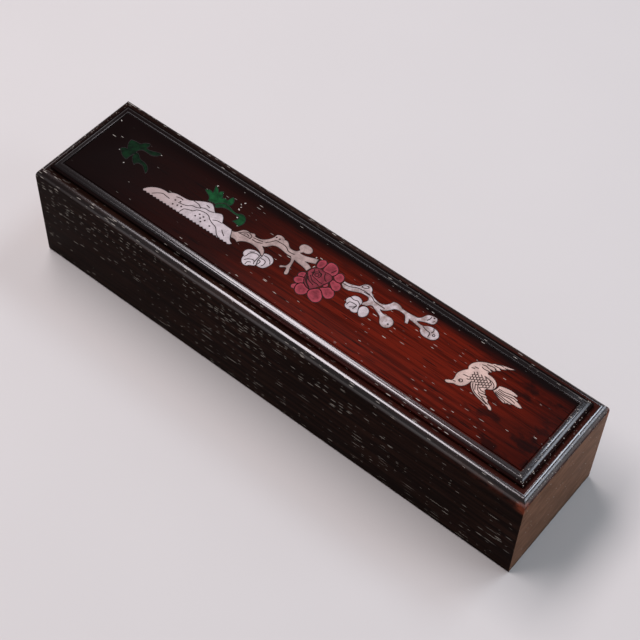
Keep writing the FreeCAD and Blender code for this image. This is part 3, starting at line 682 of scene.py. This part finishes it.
LINES = {
    "inlay_rock": [
        [(-61.5, -9.2), (-60, -7.8), (-58.6, -7), (-57, -7.1), (-55.6, -7.2)],
        [(-48.4, -2.6), (-46, -2.7), (-44.6, -3.3), (-43, -2.7), (-41, -2.6), (-39.6, -2.1)],
        [(-44.4, -3.6), (-45.8, -4.3), (-47.3, -4.6), (-48.5, -5.6), (-50, -6.2), (-51.5, -6.5)],
        [(-48.9, -9.5), (-48.5, -7.6), (-47.2, -6.8), (-45.5, -6.1), (-44.8, -5), (-43.4, -4.4),
         (-41.6, -4.1), (-40, -4.4), (-38.5, -5.4), (-36.8, -6.1), (-35, -6.6), (-33.8, -7.6),
         (-32.8, -8.6), (-31.4, -9.4)],
        [(-37.6, -4.8), (-36.4, -4.2), (-34.5, -3.95)],
        [(-32.4, -6.2), (-31.4, -7), (-30.4, -7.6)],
        [(-43.6, -1.2), (-42.2, -1.5)],
        [(-53.8, -5), (-52.5, -4.6), (-51.6, -4.7)],
    ],
    "inlay_left_branch": [
        [(-27.2, -3.3), (-26, -1.9), (-24.4, -1.2), (-22.9, -1.8), (-22.8, -2.6)],
        [(-25.6, -2.6), (-24.8, -2), (-23.9, -2.3)],
        [(-27.4, -3.4), (-25.2, -3.1), (-23, -2.9)],
        [(-22, -1.8), (-20, -1.5), (-19, -1.2)],
        [(-21.6, -2.7), (-20, -2.6), (-18.4, -1.9)],
        [(-17.5, -0.7), (-16.8, 0.2), (-16, 1.4), (-15.4, 2.2), (-14, 2.3), (-12.5, 2.4), (-11, 2.1),
         (-9.6, 1.3), (-8.4, 1.2), (-7.3, 1.4)],
    ],
    "inlay_left_fan": [
        [(-15.5, -6.6), (-16.6, -6.4), (-18, -7), (-18.8, -8), (-18.9, -9.2), (-19.2, -9.9)],
        [(-18.2, -10.8), (-17.4, -9.8), (-16.2, -9.2), (-15.4, -9.3), (-14.8, -10.4)],
        [(-16.9, -12.2), (-16.9, -11), (-16.2, -10.5)],
        [(-18.9, -7.2), (-17.8, -6.3)],
        [(-15.4, -6.1), (-15.3, -8), (-15.1, -9.2)],
    ],
    "inlay_right_fan": [
        [(-14.4, -5.4), (-12.8, -5.3), (-11.4, -6), (-10.6, -7)],
        [(-14.3, -7), (-13, -6.9), (-12.2, -7.4), (-12, -8.6), (-12.2, -9.3)],
        [(-14.7, -8.1), (-13.8, -8.1), (-13.6, -9), (-13.8, -9.8)],
    ],
    "inlay_peony_heart": [
        [(1.1, -1.7), (1.9, -2.7), (2.8, -3.5), (3.6, -3.9)],
        [(2.8, -2), (3.6, -2.6), (4.4, -3.2), (5.5, -3.4), (6.6, -3.3), (7.4, -3.6)],
        [(2.3, -2.6), (3.2, -3.6), (4.4, -4.1), (5.6, -4.4)],
        [(3, -1.5), (4, -1.8), (5.4, -2), (6.6, -2.3), (7.5, -2.2)],
        [(2.5, 0.2), (2.7, -0.6), (3, -1.2)],
        [(3.5, 1.4), (4.4, 1), (5.2, 0.9), (5.6, 0)],
        arc(4.2, -0.4, 0.7, 0, 360), arc(4.2, -0.4, 1.3, -30, 210),
        [(2.1, 0.9), (2.6, 0.2), (2.4, -0.6)],
        [(6, 1.8), (6.5, 0.8), (7.4, -0.2), (8.3, -0.6)],
        [(1.6, -2), (3.2, -4.6), (5.2, -5.9)],
        [(1.3, -1.6), (2.6, -4.4), (5.8, -6.5)],
    ],
    "inlay_peony_petal_2": [[(7.9, 5), (7.6, 4.2), (7.3, 3.4)]],
    "inlay_right_branch": [
        arc(19.6, 6.0, 1.15, 0, 360, 0.45, 30),
        [(13, 2.4), (15.6, 2.8), (17.5, 3.9), (20, 4.4), (22.6, 4.4)],
        [(20.5, 4), (23.5, 4.1), (25.5, 3.2), (28, 3), (29.4, 3)],
        [(28.2, 4.4), (29.4, 5.2)],
        [(43.4, 10.1), (43.6, 9.3), (43.2, 8.3)],
        [(45.3, 9.2), (45, 8.8)],
        [(43.6, 5.3), (45.4, 4.8), (46.8, 4.6), (47.2, 3.2)],
        [(46.7, 7), (47.4, 6), (47.2, 5)],
        arc(48.4, 4.6, 0.4, 0, 360),
    ],
    "inlay_right_blossom": [
        [(18.6, -0.4), (20, -0.6), (21.2, -0.2), (22.6, -0.9)],
        [(19.2, -3.4), (19.4, -2.2), (20.6, -1.8), (22, -1.9), (21.6, -3), (20.6, -3.8)],
        [(22.2, -2.2), (21.9, -3.6)],
    ],
    "inlay_bird_body": [
        arc(65.3, -3.9, 0.6, 0, 360),
        [(63.9, -5.3), (63.5, -5.4)],
        [(64.8, -1.4), (66.2, -1.2)],
        [(70.4, 8.3), (71.5, 8.9), (72.6, 9)],
        [(70, 7.6), (71.2, 7.7), (72.6, 7.9)],
        [(69.6, 6.8), (70.6, 6.9), (71.8, 6.5)],
        [(68.3, 5.8), (69.5, 5.5), (70.8, 5.6)],
        [(67.5, 4.6), (68.5, 4.4), (70, 4.6), (70.8, 4.4)],
        [(68.3, 6.5), (69, 6.6)],
        [(67.3, 5.5), (68, 5.7)],
        [(65.7, 3.3), (66.6, 3.4)],
        [(65.2, 2.4), (65.8, 2.6)],
        [(70.2, 2.3), (72, 2.1), (73.6, 1.8), (74.6, 1), (74.8, 0.2)],
        [(69, -2.6), (70, -3.9), (71.6, -4.9), (74, -5.4), (76.5, -6)],
        [(71.2, -2.3), (72.4, -2.9), (73.6, -2.8)],
        [(71.4, -3.4), (72.6, -3.8), (74.2, -3.4)],
        [(72.2, -4.2), (73.4, -4.6), (74.8, -4.2)],
        [(73.6, -4.6), (74.8, -5.2), (76, -5.6), (77, -5.8)],
        [(69.6, -2), (70.5, -3.6)],
        [(70.5, -1.9), (71.3, -3.2)],
    ] + scales(66.6, 73.6, -1.5, 1.8, 1.15),
    "inlay_bird_tail": [
        [(76.6, 1.2), (78.5, 1.3), (80.5, 1.8), (81.9, 1.9)],
        [(76.4, 0.7), (79, 0.6), (81.5, 1.1), (83, 1)],
        [(76.2, 0.1), (78.5, 0), (81, 0.3), (83, 0)],
        [(76, -0.4), (78, -0.6), (80.4, -0.9), (82.4, -0.9)],
        [(75.9, -0.7), (78, -1.2), (80, -1.5), (80.7, -1.8)],
    ],
}

DOTS = {
    "inlay_rock": [(-42.8, -5.8), (-41, -5.9), (-41.5, -7), (-39.6, -6.8), (-43.5, -7.3),
                   (-40.4, -8.1), (-36.8, -7.6), (-53.4, -6.4), (-51.5, -5.9), (-51.3, -7.7),
                   (-49.9, -7.3), (-52.9, -8.3)],
    "inlay_left_branch": [(-16.3, 3.3), (-15, 3.4)],
    "inlay_right_branch": [(44.5, 10.3), (34.4, -1.3)],
    "inlay_bird_body": [(64.85, -4.1)],
}

CHIPS = [(-48.5, 4.2), (-47.3, 4.6), (-46.7, 7.8), (-46.3, 6.6), (-45, 5.8), (-44, 4.3), (-42.9, 6.5),
         (-40.8, 5), (-38.7, 7), (-34.3, 8), (-35, 6.7), (-34.2, 5.7), (-34.1, 4.5), (-32.2, 1.4),
         (-29.8, -1.3), (-83.5, 4), (-82.4, 4.3), (-83.6, -0.5), (-84.3, -1.6), (-78.9, -5.2),
         (-71.2, 5.8), (-73, 4.3), (1.2, 1.7), (-0.6, 5.2), (-93.5, 9)]


# Carving

def on_lid(points):
    """Points of the drawing, in millimetres, at their places on the lid's field."""
    return [((x + DRAWN_ALONG) * FIELD_LENGTH / DRAWN_LENGTH,
             (y + DRAWN_ACROSS) * FIELD_WIDTH / DRAWN_WIDTH) for x, y in points]


def flowing(points, spacing):
    """Points along the smooth curve through points."""
    knots = [np.array(point, float) for point in points]
    padded = [2 * knots[0] - knots[1]] + knots + [2 * knots[-1] - knots[-2]]
    result = []
    for index in range(1, len(padded) - 2):
        before, start, end, after = padded[index - 1:index + 3]
        steps = max(1, math.ceil(np.linalg.norm(end - start) / spacing))
        for step in range(steps):
            t = step / steps
            result.append(0.5 * (2 * start + (end - before) * t
                                 + (2 * before - 5 * start + 4 * end - after) * t * t
                                 + (3 * start - before - 3 * end + after) * t ** 3))
    result.append(knots[-1])
    return np.array(result)


def distance(points, starts, ends):
    """Distance from each point to the nearest of the segments."""
    nearest = np.full(len(points), 1e9)
    for start, end in zip(starts, ends):
        run = end - start
        share = np.clip(((points - start) @ run) / max(run @ run, 1e-12), 0, 1)
        gap = np.linalg.norm(points - start - share[:, None] * run, axis=1)
        nearest = np.minimum(nearest, gap)
    return nearest


def inside(points, loop):
    """Which points lie inside the closed loop."""
    result = np.zeros(len(points), bool)
    for start, end in zip(loop, np.roll(loop, -1, axis=0)):
        crosses = (start[1] > points[:, 1]) != (end[1] > points[:, 1])
        rise = end[1] - start[1] if end[1] != start[1] else 1e-12
        across = start[0] + (points[:, 1] - start[1]) * (end[0] - start[0]) / rise
        result ^= crosses & (points[:, 0] < across)
    return result


def top_outline(node):
    """The closed outline of a piece's top face, anticlockwise, in millimetres."""
    shape = merged_copy(node)
    top = max(vert.co.z for vert in shape.verts)
    level = top - 0.01 * MM
    cap = {face for face in shape.faces if all(vert.co.z > level for vert in face.verts)}
    beside = {}
    for edge in shape.edges:
        if sum(face in cap for face in edge.link_faces) == 1:
            for here, there in (edge.verts, reversed(edge.verts)):
                beside.setdefault(here.index, []).append(there)
    start = min(beside)
    loop = []
    last, here = None, start
    shape.verts.ensure_lookup_table()
    while here != start or not loop:
        loop.append(tuple(shape.verts[here].co.xy / MM))
        steps = [vert.index for vert in beside[here] if vert.index != last]
        last, here = here, steps[0]
    if len(loop) != len(beside):
        raise RuntimeError(f"{node}: the outline of its top is in more than one loop")
    shape.free()
    loop = np.array(loop)
    following = np.roll(loop, -1, axis=0)
    area = np.sum(loop[:, 0] * following[:, 1] - following[:, 0] * loop[:, 1])
    return loop if area > 0 else loop[::-1]


def close_spaced(loop, spacing):
    """The loop with its long runs divided."""
    points = []
    for start, end in zip(loop, np.roll(loop, -1, axis=0)):
        steps = max(1, math.ceil(np.linalg.norm(end - start) / spacing))
        points += [start + (end - start) * step / steps for step in range(steps)]
    return np.array(points)


def inward(loop):
    """Unit normals that point into the loop at each of its points."""
    run = np.roll(loop, -1, axis=0) - np.roll(loop, 1, axis=0)
    run /= np.maximum(np.linalg.norm(run, axis=1), 1e-9)[:, None]
    return np.stack([-run[:, 1], run[:, 0]], axis=1)


def carve(node, dome=0.0, dome_reach=2.0):
    """The node's piece with a rounded edge, a domed face and engraved lines."""
    inlay = bpy.context.scene.inlay
    spacing = inlay.spacing / MM
    half_line = inlay.line_width / MM / 2
    reach = inlay.edge_reach / MM
    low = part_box(node)[0].z
    loop = close_spaced(top_outline(node), spacing)
    starts, ends = loop, np.roll(loop, -1, axis=0)
    into = inward(loop)

    points = [loop]
    for depth in RING_DEPTHS + (reach,):
        ring = loop + into * depth
        points.append(ring[distance(ring, starts, ends) > 0.93 * depth])

    strokes = []
    joins = []
    for line in LINES.get(node, []):
        run = flowing(on_lid(line), 0.7 * spacing)
        keep = inside(run, loop) & (distance(run, starts, ends) > CLEAR_OF_EDGE)
        run_normal = np.gradient(run, axis=0)
        run_normal /= np.maximum(np.linalg.norm(run_normal, axis=1), 1e-9)[:, None]
        side = np.stack([-run_normal[:, 1], run_normal[:, 0]], axis=1)
        numbers = np.cumsum(keep) - 1 + sum(len(group) for group in points)
        for i in range(len(run) - 1):
            if keep[i] and keep[i + 1]:
                strokes.append((run[i], run[i + 1]))
                joins.append((int(numbers[i]), int(numbers[i + 1])))
        points.append(run[keep])
        for way in (-1, 1):
            bank = run + side * half_line * way
            bank = bank[keep & inside(bank, loop)]
            points.append(bank[distance(bank, starts, ends) > BANK_CLEAR_OF_EDGE])
    dots = on_lid(DOTS.get(node, []))
    for x, y in dots:
        points.append(np.array([(x, y)] + arc(x, y, DOT_RADIUS, 0, 360)[:-1]))

    low_corner, high_corner = loop.min(0), loop.max(0)
    rows = []
    step_y = spacing * math.sqrt(3) / 2
    for row in range(int((high_corner[1] - low_corner[1]) / step_y) + 1):
        start = low_corner[0] + (row % 2) * spacing / 2
        xs = np.arange(start, high_corner[0], spacing)
        rows.append(np.stack([xs, np.full(len(xs), low_corner[1] + row * step_y)], axis=1))
    grid = np.concatenate(rows)
    grid = grid[inside(grid, loop)]
    grid = grid[distance(grid, starts, ends) > reach + 0.3 * spacing]
    if strokes:
        first, second = (np.array([pair[i] for pair in strokes]) for i in (0, 1))
        grid = grid[distance(grid, first, second) > half_line + 0.25 * spacing]
    points.append(grid)

    flat = np.concatenate(points)
    found = delaunay_2d_cdt([Vector(p) for p in flat], joins, [list(range(len(loop)))], 1, 1e-5)
    spots = np.array([tuple(p) for p in found[0]])
    away = distance(spots, starts, ends)
    deep = np.zeros(len(spots))
    if strokes:
        deep = np.clip(1 - distance(spots, first, second) / half_line, 0, 1)
    for x, y in dots:
        gap = np.hypot(spots[:, 0] - x, spots[:, 1] - y)
        deep = np.maximum(deep, np.clip(1.6 - gap / DOT_FADE, 0, 1))
    rounding = (1 - np.clip(away / reach, 0, 1)) ** 2
    fall = dome * (1 - np.clip(away / dome_reach, 0, 1)) ** 2
    height = INLAY_TOP - inlay.edge_drop / MM * rounding - fall - inlay.line_depth / MM * deep

    shape = bmesh.new()
    line_layer = shape.verts.layers.float.new("line")
    edge_layer = shape.verts.layers.float.new("edge")
    verts = []
    for spot, z, cut, gap in zip(spots, height, deep, away):
        vert = shape.verts.new((spot[0] * MM, spot[1] * MM, z * MM))
        vert[line_layer] = cut
        vert[edge_layer] = math.exp(-gap / EDGE_FADE)
        verts.append(vert)
    for corners in found[2]:
        face = shape.faces.new([verts[i] for i in corners])
        face.normal_update()
        if face.normal.z < 0:
            face.normal_flip()
        face.smooth = True
    rim = [edge for edge in shape.edges if len(edge.link_faces) == 1]
    walls = bmesh.ops.extrude_edge_only(shape, edges=rim)["geom"]
    foot = [item for item in walls if isinstance(item, bmesh.types.BMVert)]
    for vert in foot:
        vert.co.z = low
        vert[edge_layer] = 1.0
    foot_edges = [item for item in walls if isinstance(item, bmesh.types.BMEdge)
                  and item.verts[0] in foot and item.verts[1] in foot]
    bmesh.ops.contextual_create(shape, geom=foot_edges)
    bmesh.ops.recalc_face_normals(shape, faces=shape.faces)
    set_creases(shape, STONE_CREASE)
    return shape


# Pieces that Geometry Nodes make

def new_tree(name, sockets):
    """Empty tree with its input node, and the identifiers of its inputs by name."""
    tree = bpy.data.node_groups.new(name, "GeometryNodeTree")
    face = tree.interface
    face.new_socket("Geometry", in_out="OUTPUT", socket_type="NodeSocketGeometry")
    names = {socket: face.new_socket(socket, in_out="INPUT", socket_type="NodeSocket" + kind).identifier
             for socket, kind in {"Geometry": "Geometry", **sockets, "Finish": "Material"}.items()}
    make = Builder(tree)
    return make, make.add("NodeGroupInput"), names


def end_tree(make, group, geometry):
    """Makes the instances real and gives them their finish."""
    whole = make.add("GeometryNodeRealizeInstances", None, {"Geometry": geometry}).out()
    last = make.add("GeometryNodeSetMaterial", None,
                    {"Geometry": whole, "Material": group.out("Finish")}).out()
    make.add("NodeGroupOutput", None, {"Geometry": last})
    return make.tree


def path_tree(name):
    """Tree that runs a round bead along the edges of its mesh."""
    make, group, names = new_tree(name, {"Radius": "Float"})
    path = make.add("GeometryNodeMeshToCurve", None, {"Mesh": group.out("Geometry")}).out()
    ring = make.add("GeometryNodeCurvePrimitiveCircle", None,
                    {"Resolution": 6, "Radius": group.out("Radius")}).out()
    bead = make.add("GeometryNodeCurveToMesh", None, {"Curve": path, "Profile Curve": ring}).out()
    return end_tree(make, group, bead), names


def chip_tree(name):
    """Tree that puts a small flat chip, turned and sized at random, on each point of its mesh."""
    make, group, names = new_tree(name, {"Size": "Float", "Seed": "Int"})
    chip = make.add("GeometryNodeMeshIcoSphere", None,
                    {"Radius": group.out("Size"), "Subdivisions": 2}).out()
    spread = make.add("FunctionNodeRandomValue", {"data_type": "FLOAT_VECTOR"}, {
        0: (0.35, 0.25, 0.06), 1: (1.0, 0.6, 0.12), "Seed": group.out("Seed")}).out(0)
    turn = make.add("FunctionNodeRandomValue", {"data_type": "FLOAT_VECTOR"}, {
        0: (0.0, 0.0, 0.0), 1: (0.0, 0.0, math.tau), "Seed": group.out("Seed")}).out(0)
    placed = make.add("GeometryNodeInstanceOnPoints", None, {
        "Points": group.out("Geometry"), "Instance": chip, "Rotation": turn, "Scale": spread}).out()
    return end_tree(make, group, placed), names


def grown(name, mesh, tree, names, values):
    """The mesh that a tree makes from a mesh."""
    base = bpy.data.objects.new(name, mesh)
    bpy.context.scene.collection.objects.link(base)
    modifier = base.modifiers.new("grow", "NODES")
    modifier.node_group = tree
    for key, value in values.items():
        modifier[names[key]] = value
    bpy.context.view_layer.update()
    seen = base.evaluated_get(bpy.context.evaluated_depsgraph_get())
    result = bpy.data.meshes.new_from_object(seen)
    bpy.data.objects.remove(base)
    result.name = name
    return result


# Operators

INLAY_NODES = sorted(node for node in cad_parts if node.startswith("inlay_"))


class SCENE_OT_set_stage(bpy.types.Operator):
    """Sets the camera, the pale floor and the lights"""
    bl_idname = "ink_box.set_stage"
    bl_label = "Set the stage"

    def execute(self, context):
        stage = context.scene.stage
        camera_data = bpy.data.cameras.new("camera")
        camera_data.lens = stage.lens
        camera_data.sensor_width = 36
        camera_data.clip_start = 0.01
        camera = bpy.data.objects.new("camera", camera_data)
        camera.location = stage.camera_place
        camera.rotation_euler = stage.camera_turn
        context.scene.collection.objects.link(camera)
        context.scene.camera = camera

        make = Finish("pale_floor")
        haze = make.cloud((90, 90, 90), detail=3)
        make.colour = make.mix(haze, Vector(stage.floor) * 0.95, stage.floor)
        floor_finish = make.surface(0.7 + haze * 0.05, haze, 0.02, MM, 0.3)
        floor_mesh = bpy.data.meshes.new("floor")
        corners = [(x * FLOOR_HALF, y * FLOOR_HALF, 0) for x, y in ((-1, -1), (1, -1), (1, 1), (-1, 1))]
        floor_mesh.from_pydata(corners, [], [(0, 1, 2, 3)])
        floor_mesh.materials.append(floor_finish)
        floor = bpy.data.objects.new("floor", floor_mesh)
        context.scene.collection.objects.link(floor)

        for name, place, size, power, colour in (
                ("main_light", (-0.37, -0.06, 1.0), (0.98, 0.36), stage.key_power, (1.0, 0.92, 0.98)),
                ("end_light", (0.3, 0.6, 1.0), (0.4, 0.3), stage.end_power, (0.78, 0.86, 1.0)),
                ("side_light", (0.9, 0.5, 0.42), (0.5, 0.5), stage.side_power, (0.8, 0.87, 1.0))):
            data = bpy.data.lights.new(name, "AREA")
            data.shape = "RECTANGLE"
            data.size, data.size_y = size
            data.energy = power
            data.color = colour
            light = bpy.data.objects.new(name, data)
            light.location = place
            light.rotation_euler = (-Vector(place)).to_track_quat("-Z", "Y").to_euler()
            context.scene.collection.objects.link(light)
        context.scene.view_settings.view_transform = "Standard"
        world = bpy.data.worlds.new("room")
        world.use_nodes = True
        background = world.node_tree.nodes["Background"].inputs
        background["Color"].default_value = (0.9, 0.93, 1.0, 1.0)
        background["Strength"].default_value = stage.sky
        context.scene.world = world
        return {"FINISHED"}


class OBJECT_OT_dress_walls(bpy.types.Operator):
    """Eases and polishes the four walls, and finishes the bottom board and the splines"""
    bl_idname = "ink_box.dress_walls"
    bl_label = "Dress the walls"

    def execute(self, context):
        side = wall_finish("side_hardwood")
        end = wall_finish("end_hardwood", end=True)
        for node, finish in (("front_wall", side), ("back_wall", side),
                             ("left_end_wall", end), ("right_end_wall", end)):
            eased_copy(node, node.replace("_wall", "_panel"), WALL_EASE, "box", finish, "dark_hardwood")
        dress("bottom_board", side)
        dress("mitre_splines", side)
        return {"FINISHED"}


class OBJECT_OT_dress_lid(bpy.types.Operator):
    """Polishes the lid board"""
    bl_idname = "ink_box.dress_lid"
    bl_label = "Dress the lid"

    def execute(self, context):
        def in_field(edge):
            middle = (edge.verts[0].co + edge.verts[1].co) / 2 / MM
            return (abs(middle.x) < HALF_LENGTH - FIELD_INSET - 0.1
                    and abs(middle.y) < HALF_WIDTH - FIELD_INSET - 0.1 and middle.z > WALL_TOP)
        eased_copy("lid_board", "lid_panel", LID_EASE, "lid", lid_finish(), "red_hardwood", in_field)
        return {"FINISHED"}


class OBJECT_OT_carve_inlay(bpy.types.Operator):
    """Carves each soapstone piece with rounded edges and engraved lines"""
    bl_idname = "ink_box.carve_inlay"
    bl_label = "Carve the inlay"

    def execute(self, context):
        inlay = context.scene.inlay
        stones = {}
        for name, colour, pale, deep, cloud_size, pale_rim, shading in (
                ("cream", inlay.cream, 1.0, 0.72, 3.0, 0.0, None),
                ("rock", inlay.cream, 1.0, 0.72, 3.0, 0.0, thin_end),
                ("warm", inlay.warm, 1.0, 0.74, 3.0, 0.0, None),
                ("tan", inlay.tan, 1.2, 0.75, 3.0, 0.0, None),
                ("pink", inlay.pink, 1.3, 0.7, 2.0, 0.45, toward_heart),
                ("deep_pink", inlay.pink, 1.0, 0.6, 2.0, 0.0, None),
                ("green", inlay.green, 1.4, 0.5, 2.4, 0.0, None),
                ("dark_green", inlay.green, 0.38, 0.12, 2.4, 0.0, None)):
            stones[name] = soapstone(name + "_soapstone", Vector(colour) * pale, Vector(colour) * deep,
                                     cloud_size, pale_rim, shading)
        stones["bark"] = soapstone("bark_soapstone", Vector(inlay.cream), Vector(inlay.tan) * 0.8, 2.2)
        for node in INLAY_NODES:
            stone, dome, slot = "cream", 0.0, "cream_soapstone"
            if "petal_" in node:
                stone, dome, slot = "pink", 0.12, "pink_soapstone"
            elif "heart" in node:
                stone, slot = "deep_pink", "pink_soapstone"
            elif "stem" in node or "leaves" in node:
                stone, slot = "dark_green" if "far" in node else "green", "green_soapstone"
            elif "left_branch" in node:
                stone = "tan"
            elif "right_branch" in node:
                stone = "bark"
            elif "rock" in node:
                stone = "rock"
            elif "bird" in node:
                stone = "warm"
            shape = carve(node, dome)
            new_piece(node.replace("inlay_", "carved_"), shape, "lid", stones[stone], [node], slot)
        return {"FINISHED"}


class OBJECT_OT_draw_joints(bpy.types.Operator):
    """Runs a thin dark bead of lacquer round each inlay piece"""
    bl_idname = "ink_box.draw_joints"
    bl_label = "Draw the joints"

    def execute(self, context):
        radius = context.scene.inlay.joint_radius
        level = LID_TOP * MM - 0.35 * radius
        verts, edges = [], []
        for node in INLAY_NODES:
            loop = top_outline(node)
            first = len(verts)
            verts += [(x * MM, y * MM, level) for x, y in loop]
            edges += [(first + i, first + (i + 1) % len(loop)) for i in range(len(loop))]
        base = bpy.data.meshes.new("joint_paths")
        base.from_pydata(verts, edges, [])
        tree, names = path_tree("joint_bead")
        finish = line_finish()
        mesh = grown("joint_lines", base, tree, names, {"Radius": radius, "Finish": finish})
        place_piece("joint_lines", mesh, "lid", finish)
        return {"FINISHED"}


class OBJECT_OT_scatter_chips(bpy.types.Operator):
    """Sets the pale chips of filler in the lid"""
    bl_idname = "ink_box.scatter_chips"
    bl_label = "Scatter the chips"

    def execute(self, context):
        base = bpy.data.meshes.new("chip_points")
        base.from_pydata([(x * MM, y * MM, LID_TOP * MM) for x, y in on_lid(CHIPS)], [], [])
        tree, names = chip_tree("chip_scatter")
        finish = chip_finish()
        mesh = grown("filler_chips", base, tree, names, {"Size": CHIP_SIZE, "Seed": CHIP_SEED,
                                                         "Finish": finish})
        place_piece("filler_chips", mesh, "lid", finish)
        return {"FINISHED"}


class OBJECT_OT_dress_inside(bpy.types.Operator):
    """Finishes the tray, its bearers, the inkstone and the ink stick"""
    bl_idname = "ink_box.dress_inside"
    bl_label = "Dress the inside"

    def execute(self, context):
        tray = plain_finish("tray_wood", (0.16, 0.075, 0.04), (0.07, 0.03, 0.016))
        bearer = plain_finish("bearer_wood", (0.24, 0.14, 0.075), (0.13, 0.07, 0.035))
        for node, finish, body, name, slot in (
                ("tray_board", tray, "box", "tray_panel", "plain_wood"),
                ("front_bearer", bearer, "box", "front_rail", "plain_wood"),
                ("back_bearer", bearer, "box", "back_rail", "plain_wood"),
                ("inkstone", slate_finish(), "inkstone", "ground_stone", "inkstone_slate"),
                ("ink_stick", ink_finish(), "ink_stick", "pressed_stick", "ink_cake")):
            eased_copy(node, name, INSIDE_EASE, body, finish, slot)
        return {"FINISHED"}


class VIEW3D_PT_ink_box(bpy.types.Panel):
    """Steps that dress the ink box, in order"""
    bl_label = "Ink box"
    bl_idname = "VIEW3D_PT_ink_box"
    bl_space_type = "VIEW_3D"
    bl_region_type = "UI"
    bl_category = "Ink box"

    def draw(self, context):
        for name, kind in GROUPS:
            group = getattr(context.scene, name)
            box = self.layout.box()
            for prop in kind.__annotations__:
                box.prop(group, prop)
        for step in STEPS:
            self.layout.operator(step.bl_idname)


GROUPS = (("box_wood", BoxWoodSettings), ("lid_wood", LidWoodSettings),
          ("inlay", InlaySettings), ("stage", StageSettings))
STEPS = (SCENE_OT_set_stage, OBJECT_OT_dress_walls, OBJECT_OT_dress_lid, OBJECT_OT_carve_inlay,
         OBJECT_OT_draw_joints, OBJECT_OT_scatter_chips, OBJECT_OT_dress_inside)


def register():
    for name, group in GROUPS:
        bpy.utils.register_class(group)
        setattr(bpy.types.Scene, name, bpy.props.PointerProperty(type=group))
    for step in STEPS + (VIEW3D_PT_ink_box,):
        bpy.utils.register_class(step)


def unregister():
    for step in reversed(STEPS + (VIEW3D_PT_ink_box,)):
        bpy.utils.unregister_class(step)
    for name, group in reversed(GROUPS):
        delattr(bpy.types.Scene, name)
        bpy.utils.unregister_class(group)


def main():
    register()
    for step in STEPS:
        area, action = step.bl_idname.split(".")
        getattr(getattr(bpy.ops, area), action)()


if __name__ == "__main__":
    main()
